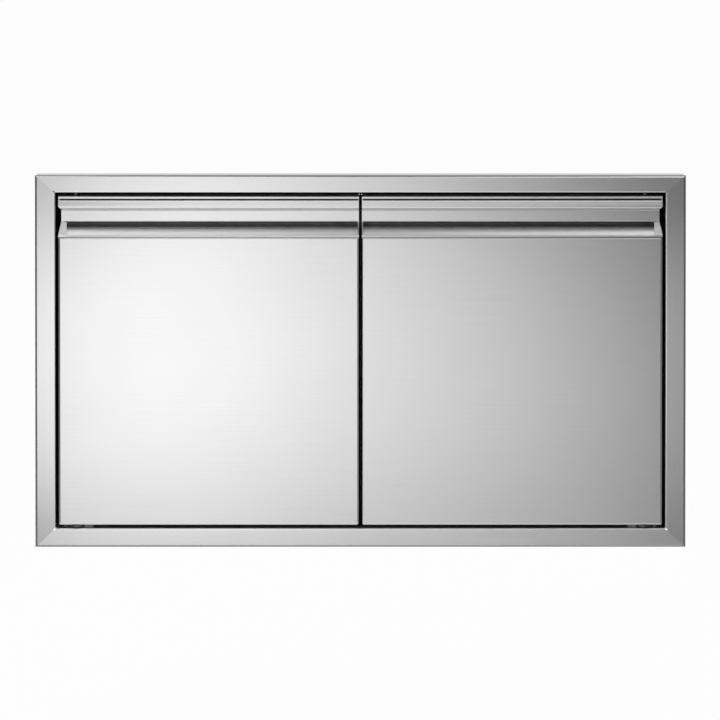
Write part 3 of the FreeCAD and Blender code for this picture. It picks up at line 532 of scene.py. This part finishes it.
@dataclass(frozen=True)
class FoamEdgeSeal:
    """Extruded foam strip on a door's free edge, in the place of the plain CAD strip.

    Its soft domed nose meets the other door's, so no light comes through between the doors.
    """

    side: Side
    # Half of the hairline between the two noses.
    nose_gap_mm: float = 0.004
    nose_length_mm: float = 1.1
    nose_steps: int = 12

    def outline(self, low: Vector, high: Vector) -> list[tuple[float, float]]:
        """Cross-section of the strip, seen from above.

        Args:
            low: Lowest corner of the plain strip.
            high: Highest corner of the plain strip.

        Returns:
            Its points in metres, from the foot round the nose and back to the foot.
        """
        foot = max(abs(low.x), abs(high.x))
        tip = self.nose_gap_mm * MILLIMETRE
        reach = self.nose_length_mm * MILLIMETRE
        middle, half = (low.y + high.y) / 2, (high.y - low.y) / 2
        points = [(foot, low.y)]
        for step in range(self.nose_steps + 1):
            # From a quarter turn before the tip to a quarter turn after it.
            turn = math.pi * (step / self.nose_steps - 0.5)
            points.append((tip + reach * (1 - math.cos(turn)), middle + half * math.sin(turn)))
        points.append((foot, high.y))
        return [(self.side.value * x, y) for x, y in points]

    def extrude(self, name: str, low: Vector, high: Vector) -> bpy.types.Mesh:
        """Make the strip's mesh over the height of the plain strip.

        Args:
            name: Name of the mesh.
            low: Lowest corner of the plain strip.
            high: Highest corner of the plain strip.

        Returns:
            The closed mesh.
        """
        shape = bmesh.new()
        points = self.outline(low, high)
        lower = [shape.verts.new((x, y, low.z)) for x, y in points]
        upper = [shape.verts.new((x, y, high.z)) for x, y in points]
        shape.faces.new(lower)
        shape.faces.new(upper)
        for index in range(len(points)):
            after = (index + 1) % len(points)
            shape.faces.new((lower[index], lower[after], upper[after], upper[index]))
        bmesh.ops.recalc_face_normals(shape, faces=shape.faces[:])
        mesh = bpy.data.meshes.new(name)
        shape.to_mesh(mesh)
        shape.free()
        return mesh

    def build(self, rack: FinishRack) -> None:
        """Put the strip in the place of the plain strip and let it ride on the door.

        Args:
            rack: Rack with the finishes.
        """
        node = f"{self.side.label}_door_edge_seal"
        mesh = self.extrude(f"{self.side.label}_edge_seal_foam", *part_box(node))
        strip = bpy.data.objects.new(mesh.name, mesh)
        bpy.context.scene.collection.objects.link(strip)
        # Near-black foam, partly painted shade, so the gap between the doors reads as shadow.
        mesh.materials.append(rack.get(SHADE_BLACK_SEAL))
        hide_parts(node)
        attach(strip, f"{self.side.label}_door")
        log.info("%s: %s", strip.name, SHADE_BLACK_SEAL.name)


@dataclass
class Door:
    """One of the two doors, with its finger pull, liner and fittings."""

    side: Side

    def nodes(self, *names: str) -> list[str]:
        """Full names of this door's nodes."""
        return [f"{self.side.label}_door_{name}" for name in names]

    def build(self, rack: FinishRack) -> None:
        """Dress the door's nodes and add its foam seal.

        Args:
            rack: Rack with the finishes.
        """
        rack.dress(DOOR_ACROSS, *self.nodes("outer_skin"))
        rack.dress(PULL_ACROSS, *self.nodes("top_cap", "grip", "scoop"))
        rack.dress(PULL_ACROSS, *self.nodes("hinge_end_cap", "free_end_cap"))
        rack.dress(MILL_SHEET, *self.nodes("inner_liner", "stiffener", "upper_pivot_block",
                                           "lower_pivot_block", "strike_plate"))
        rack.dress(SINTERED_BRONZE, *self.nodes("upper_bush", "lower_bush"))
        rack.dress(ZINC_FIXING, *self.nodes("strike_rivets", "liner_screws"))
        rack.dress(BLACK_OXIDE, *self.nodes("limit_cam"))
        FoamEdgeSeal(self.side).build(rack)


# The studio panels stand round the object like a tunnel along X that is open at the back.
# These are their edges, from the ground in front over the top and back to the ground.
FRONT_FOOT = (-0.8, -0.8)
FRONT_BROW = (-0.8, 0.04)
FRONT_TOP = (-0.8, 0.34)
SHOULDER = (-0.66, 0.5)
CANOPY = (-0.46, 0.74)
CROWN = (-0.15, 1.1)
BACK_TOP = (1.7, 0.75)
GROUND_Z = -0.5
BACK_GROUND = ((0.35, GROUND_Z), (1.7, GROUND_Z))
NEAR_GROUND = ((-0.4, GROUND_Z), (0.12, GROUND_Z))
# A strip just under the frame, a little longer than it.
FOOT_Z = CAD_BOX[0].z - 0.0083
FOOT_GROUND = ((-0.035, FOOT_Z), (-0.003, FOOT_Z))
FOOT_SPAN = (-0.48, 0.48)
PANEL_X = 1.3
SIDE_X = -0.5
FULL_SPAN = (-PANEL_X, PANEL_X)
FRONT_SPAN = (SIDE_X, PANEL_X)
SIDE_SPAN = (-PANEL_X, SIDE_X)
WING_BACK = 0.8
EVEN: Profile = ((-2.0, 1.0), (2.0, 1.0))
GREY_FLAG: Profile = ((-2.0, 0.16), (2.0, 0.16))
BLACK_FLAG: Profile = ((-2.0, 0.06), (2.0, 0.06))


def band(low: Edge, high: Edge, span: tuple[float, float] = FULL_SPAN) -> Corners:
    """Corners of a panel between two level edges.

    Args:
        low: Its first edge.
        high: Its second edge.
        span: Its ends on X.

    Returns:
        The four corners in order.
    """
    (left, right), (low_y, low_z), (high_y, high_z) = span, low, high
    return ((left, low_y, low_z), (right, low_y, low_z),
            (right, high_y, high_z), (left, high_y, high_z))


def wing(x: float) -> Corners:
    """Corners of an upright panel that closes one end of the tunnel."""
    front, low, high = FRONT_FOOT[0], FRONT_FOOT[1], CROWN[1]
    return ((x, front, low), (x, front, high), (x, WING_BACK, high), (x, WING_BACK, low))


@dataclass(frozen=True)
class Panel:
    """Flat studio panel that only the metal's reflections show, like a lit cloth or a flag."""

    name: str
    corners: Corners
    over_x: Profile
    over_z: Profile = EVEN

    def build(self) -> None:
        """Make the panel with its graded glow and keep it off the camera and the shadows."""
        mesh = bpy.data.meshes.new(self.name)
        shape = bmesh.new()
        shape.faces.new([shape.verts.new(corner) for corner in self.corners])
        shape.to_mesh(mesh)
        shape.free()
        panel = bpy.data.objects.new(self.name, mesh)
        bpy.context.scene.collection.objects.link(panel)
        material, tree = new_material(self.name)
        where = add_node(tree, "ShaderNodeTexCoord")
        split = add_node(tree, "ShaderNodeSeparateXYZ", inputs={"Vector": where.outputs["Object"]})
        strength = add_node(tree, "ShaderNodeMath", {"operation": "MULTIPLY"}, {
            0: grade(tree, split.outputs["X"], self.over_x),
            1: grade(tree, split.outputs["Z"], self.over_z)})
        glow = add_node(tree, "ShaderNodeEmission", inputs={
            "Color": linear(WHITE), "Strength": strength.outputs["Value"]})
        add_node(tree, "ShaderNodeOutputMaterial", inputs={"Surface": glow.outputs["Emission"]})
        mesh.materials.append(material)
        panel.visible_camera = False
        panel.visible_diffuse = False
        panel.visible_shadow = False
        log.info("%s", self.name)


# Steel shows what stands before it, so these give the doors their fall from light on the
# left to grey on the right, and the folds of the finger pull their bands.
PANELS = (
    Panel("studio_front_panel", band(FRONT_FOOT, FRONT_BROW, FRONT_SPAN),
          ((-0.5, 1.28), (-0.4, 1.46), (-0.3, 1.5), (-0.2, 1.45), (-0.1, 1.24), (0.03, 1.05),
           (0.1, 0.99), (0.18, 0.87), (0.32, 0.67), (0.45, 0.44), (0.56, 0.22), (0.7, 0.08)),
          ((-0.62, 0.13), (-0.48, 0.2), (-0.4, 0.44), (-0.32, 0.9), (-0.22, 1.08), (-0.1, 1.09),
           (-0.02, 1.06), (0.04, 0.98))),
    Panel("studio_side_panel", band(FRONT_FOOT, FRONT_TOP, SIDE_SPAN),
          ((-0.85, 0.1), (-0.6, 0.95), (-0.5, 1.25)),
          ((-0.62, 0.02), (-0.38, 0.05), (-0.33, 0.4), (-0.28, 0.75), (-0.2, 1.0), (0.03, 1.0),
           (0.08, 0.7), (0.13, 0.2), (0.34, 0.2))),
    Panel("studio_brow_panel", band(FRONT_BROW, FRONT_TOP, FRONT_SPAN),
          ((-0.5, 0.6), (-0.42, 1.15), (-0.3, 1.5), (-0.2, 1.44), (-0.1, 1.2), (0.03, 0.98),
           (0.18, 0.6), (0.32, 0.28), (0.45, 0.1), (0.7, 0.06)),
          ((0.04, 0.98), (0.12, 0.8), (0.2, 0.66), (0.34, 0.66))),
    Panel("studio_shoulder_panel", band(FRONT_TOP, SHOULDER),
          ((-0.7, 0.06), (-0.45, 0.12), (-0.36, 0.6), (-0.26, 0.95), (-0.1, 0.98), (0.0, 0.9),
           (0.1, 0.7), (0.18, 0.5), (0.3, 0.34), (0.45, 0.16), (0.7, 0.1))),
    Panel("studio_canopy_panel", band(SHOULDER, CANOPY),
          ((-0.7, 1.0), (-0.45, 1.6), (-0.3, 1.9), (-0.15, 1.7), (0.0, 0.9), (0.18, 1.7),
           (0.4, 1.8), (0.7, 1.0)),
          ((0.5, 0.4), (0.58, 1.0), (0.74, 1.0))),
    Panel("studio_upper_panel", band(CANOPY, CROWN),
          ((-0.8, 0.6), (-0.43, 1.2), (-0.39, 0.45), (-0.3, 0.3), (-0.2, 0.22), (0.0, 0.04),
           (0.2, 0.12), (0.37, 0.16), (0.41, 0.9), (0.9, 0.6))),
    # Stands for the pale floor close in front, which lights the edges that face down.
    Panel("studio_kick_panel", band(*NEAR_GROUND),
          ((-0.7, 0.9), (-0.4, 1.2), (-0.3, 1.35), (-0.15, 1.3), (0.0, 1.2), (0.15, 1.05),
           (0.35, 0.8), (0.7, 0.5))),
    # Stands for the grey ground right under the frame, which its lowest bend shows as a line.
    Panel("studio_foot_flag", band(*FOOT_GROUND, FOOT_SPAN), ((-0.48, 0.28), (0.48, 0.34))),
    # Dark overhead, paler towards the back, where the frame's upper side sees it.
    Panel("studio_top_flag", band(CROWN, BACK_TOP), EVEN,
          ((0.75, 1.0), (0.9, 0.6), (1.0, 0.12), (1.1, 0.06))),
    Panel("studio_low_flag", band(*BACK_GROUND), BLACK_FLAG),
    Panel("studio_left_wing", wing(-PANEL_X), GREY_FLAG),
    Panel("studio_right_wing", wing(PANEL_X), GREY_FLAG),
)


@dataclass(frozen=True)
class Softbox:
    """Rectangular soft lamp that faces the object and lights its dull surfaces."""

    name: str
    place: Point
    size: tuple[float, float]
    # How bright its face is, where 1 is white.
    radiance: float = 0.9

    def build(self) -> None:
        """Make the lamp and keep it out of the metal's reflections."""
        data = bpy.data.lights.new(self.name, "AREA")
        data.shape = "RECTANGLE"
        data.size, data.size_y = self.size
        # A one-sided Lambertian panel gives pi times its area for each unit of radiance.
        data.energy = self.radiance * math.pi * self.size[0] * self.size[1]
        lamp = bpy.data.objects.new(self.name, data)
        lamp.location = self.place
        lamp.rotation_mode = "QUATERNION"
        lamp.rotation_quaternion = (-Vector(self.place)).to_track_quat("-Z", "Y")
        lamp.visible_glossy = False
        bpy.context.scene.collection.objects.link(lamp)


SOFTBOXES = (
    Softbox("softbox_left", (-1.6, -2.4, 1.2), (1.8, 1.4)),
    Softbox("softbox_overhead", (0.0, -0.3, 2.4), (2.4, 2.4)),
)


@dataclass
class PhotoCamera:
    """Long lens, level in azimuth and a little above, as in the photograph."""

    distance: float = 42.16
    elevation_deg: float = 9.5
    lens_mm: float = 1500.0
    sensor_mm: float = 36.0
    clip: tuple[float, float] = (1.0, 80.0)
    # Place of the middle of the frame's face in the picture, in pixels from its centre.
    face_offset_px: tuple[float, float] = (0.4, 1.55)
    metres_per_px: float = 0.0014065

    def build(self) -> None:
        """Make the camera and look through it."""
        data = bpy.data.cameras.new("photo_camera")
        data.lens = self.lens_mm
        data.sensor_width = self.sensor_mm
        data.clip_start, data.clip_end = self.clip
        camera = bpy.data.objects.new("photo_camera", data)
        angle = math.radians(self.elevation_deg)
        back = Vector((0.0, -math.cos(angle), math.sin(angle)))
        up = Vector((0.0, math.sin(angle), math.cos(angle)))
        across, down = (offset * self.metres_per_px for offset in self.face_offset_px)
        aim = Vector((-across, CAD_BOX[0].y, 0.0)) + up * down
        camera.location = aim + back * self.distance
        camera.rotation_mode = "QUATERNION"
        camera.rotation_quaternion = (-back).to_track_quat("-Z", "Y")
        bpy.context.scene.collection.objects.link(camera)
        bpy.context.scene.camera = camera


@dataclass
class Studio:
    """World, floor, lamps, reflection panels and camera."""

    # Height of the object's lowest edge above the floor.
    floor_drop: float = 0.30
    floor_size: float = 24.0
    # Share of plain white in the floor where it is seen. The rest is paint with the shadow.
    floor_glow: float = 0.95
    # Strength of the world as light on dull surfaces, where 1 is white.
    world_diffuse: float = 0.62

    def build(self) -> None:
        """Make the whole studio."""
        self.make_world()
        self.make_floor()
        for item in (*SOFTBOXES, *PANELS, PhotoCamera()):
            item.build()

    def seen_directly(self, tree: bpy.types.NodeTree) -> bpy.types.NodeSocket:
        """One for camera, glossy and transmission rays, else zero.

        Args:
            tree: Node tree that takes the nodes.

        Returns:
            The factor's output socket.
        """
        path = add_node(tree, "ShaderNodeLightPath")
        first = add_node(tree, "ShaderNodeMath", {"operation": "MAXIMUM"}, {
            0: path.outputs["Is Camera Ray"], 1: path.outputs["Is Glossy Ray"]})
        both = add_node(tree, "ShaderNodeMath", {"operation": "MAXIMUM"}, {
            0: first.outputs["Value"], 1: path.outputs["Is Transmission Ray"]})
        return both.outputs["Value"]

    def make_world(self) -> None:
        """White for the camera and in reflections, softer as light on dull surfaces."""
        world = bpy.data.worlds.new("studio_world")
        bpy.context.scene.world = world
        world.use_nodes = True
        tree = world.node_tree
        tree.nodes.clear()
        dull = add_node(tree, "ShaderNodeBackground", inputs={
            "Color": linear(WHITE), "Strength": self.world_diffuse})
        white = add_node(tree, "ShaderNodeBackground", inputs={
            "Color": linear(WHITE), "Strength": 1.0})
        mixed = add_node(tree, "ShaderNodeMixShader", inputs={
            0: self.seen_directly(tree), 1: dull.outputs["Background"],
            2: white.outputs["Background"]})
        add_node(tree, "ShaderNodeOutputWorld", inputs={"Surface": mixed.outputs["Shader"]})

    def make_floor(self) -> None:
        """White painted floor that glows where it is seen and keeps the soft shadow."""
        low = CAD_BOX[0].z - self.floor_drop
        mesh = bpy.data.meshes.new("studio_floor")
        shape = bmesh.new()
        bmesh.ops.create_grid(shape, x_segments=1, y_segments=1, size=self.floor_size / 2,
                              matrix=Matrix.Translation((0.0, 0.0, low)))
        shape.to_mesh(mesh)
        shape.free()
        floor = bpy.data.objects.new("studio_floor", mesh)
        bpy.context.scene.collection.objects.link(floor)
        material, tree = new_material("studio_floor_paint")
        paint = add_node(tree, "ShaderNodeBsdfDiffuse", inputs={
            "Color": linear(WHITE), "Roughness": 0.5})
        glow = add_node(tree, "ShaderNodeEmission", inputs={
            "Color": linear(WHITE), "Strength": 1.0})
        share = add_node(tree, "ShaderNodeMath", {"operation": "MULTIPLY"}, {
            0: self.seen_directly(tree), 1: self.floor_glow})
        mixed = add_node(tree, "ShaderNodeMixShader", inputs={
            0: share.outputs["Value"], 1: paint.outputs["BSDF"], 2: glow.outputs["Emission"]})
        add_node(tree, "ShaderNodeOutputMaterial", inputs={"Surface": mixed.outputs["Shader"]})
        mesh.materials.append(material)


def main() -> None:
    """Build the studio and every sub-assembly."""
    logging.basicConfig(level=logging.INFO, format="%(name)s %(message)s")
    bpy.context.scene.view_settings.view_transform = "Standard"
    Studio().build()
    rack = FinishRack()
    for assembly in (TrimFrame(), Sleeve(), HingeHardware(), CatchesAndStop(),
                     Door(Side.LEFT), Door(Side.RIGHT)):
        assembly.build(rack)
        log.info("%s done", type(assembly).__name__)


if __name__ == "__main__":
    main()
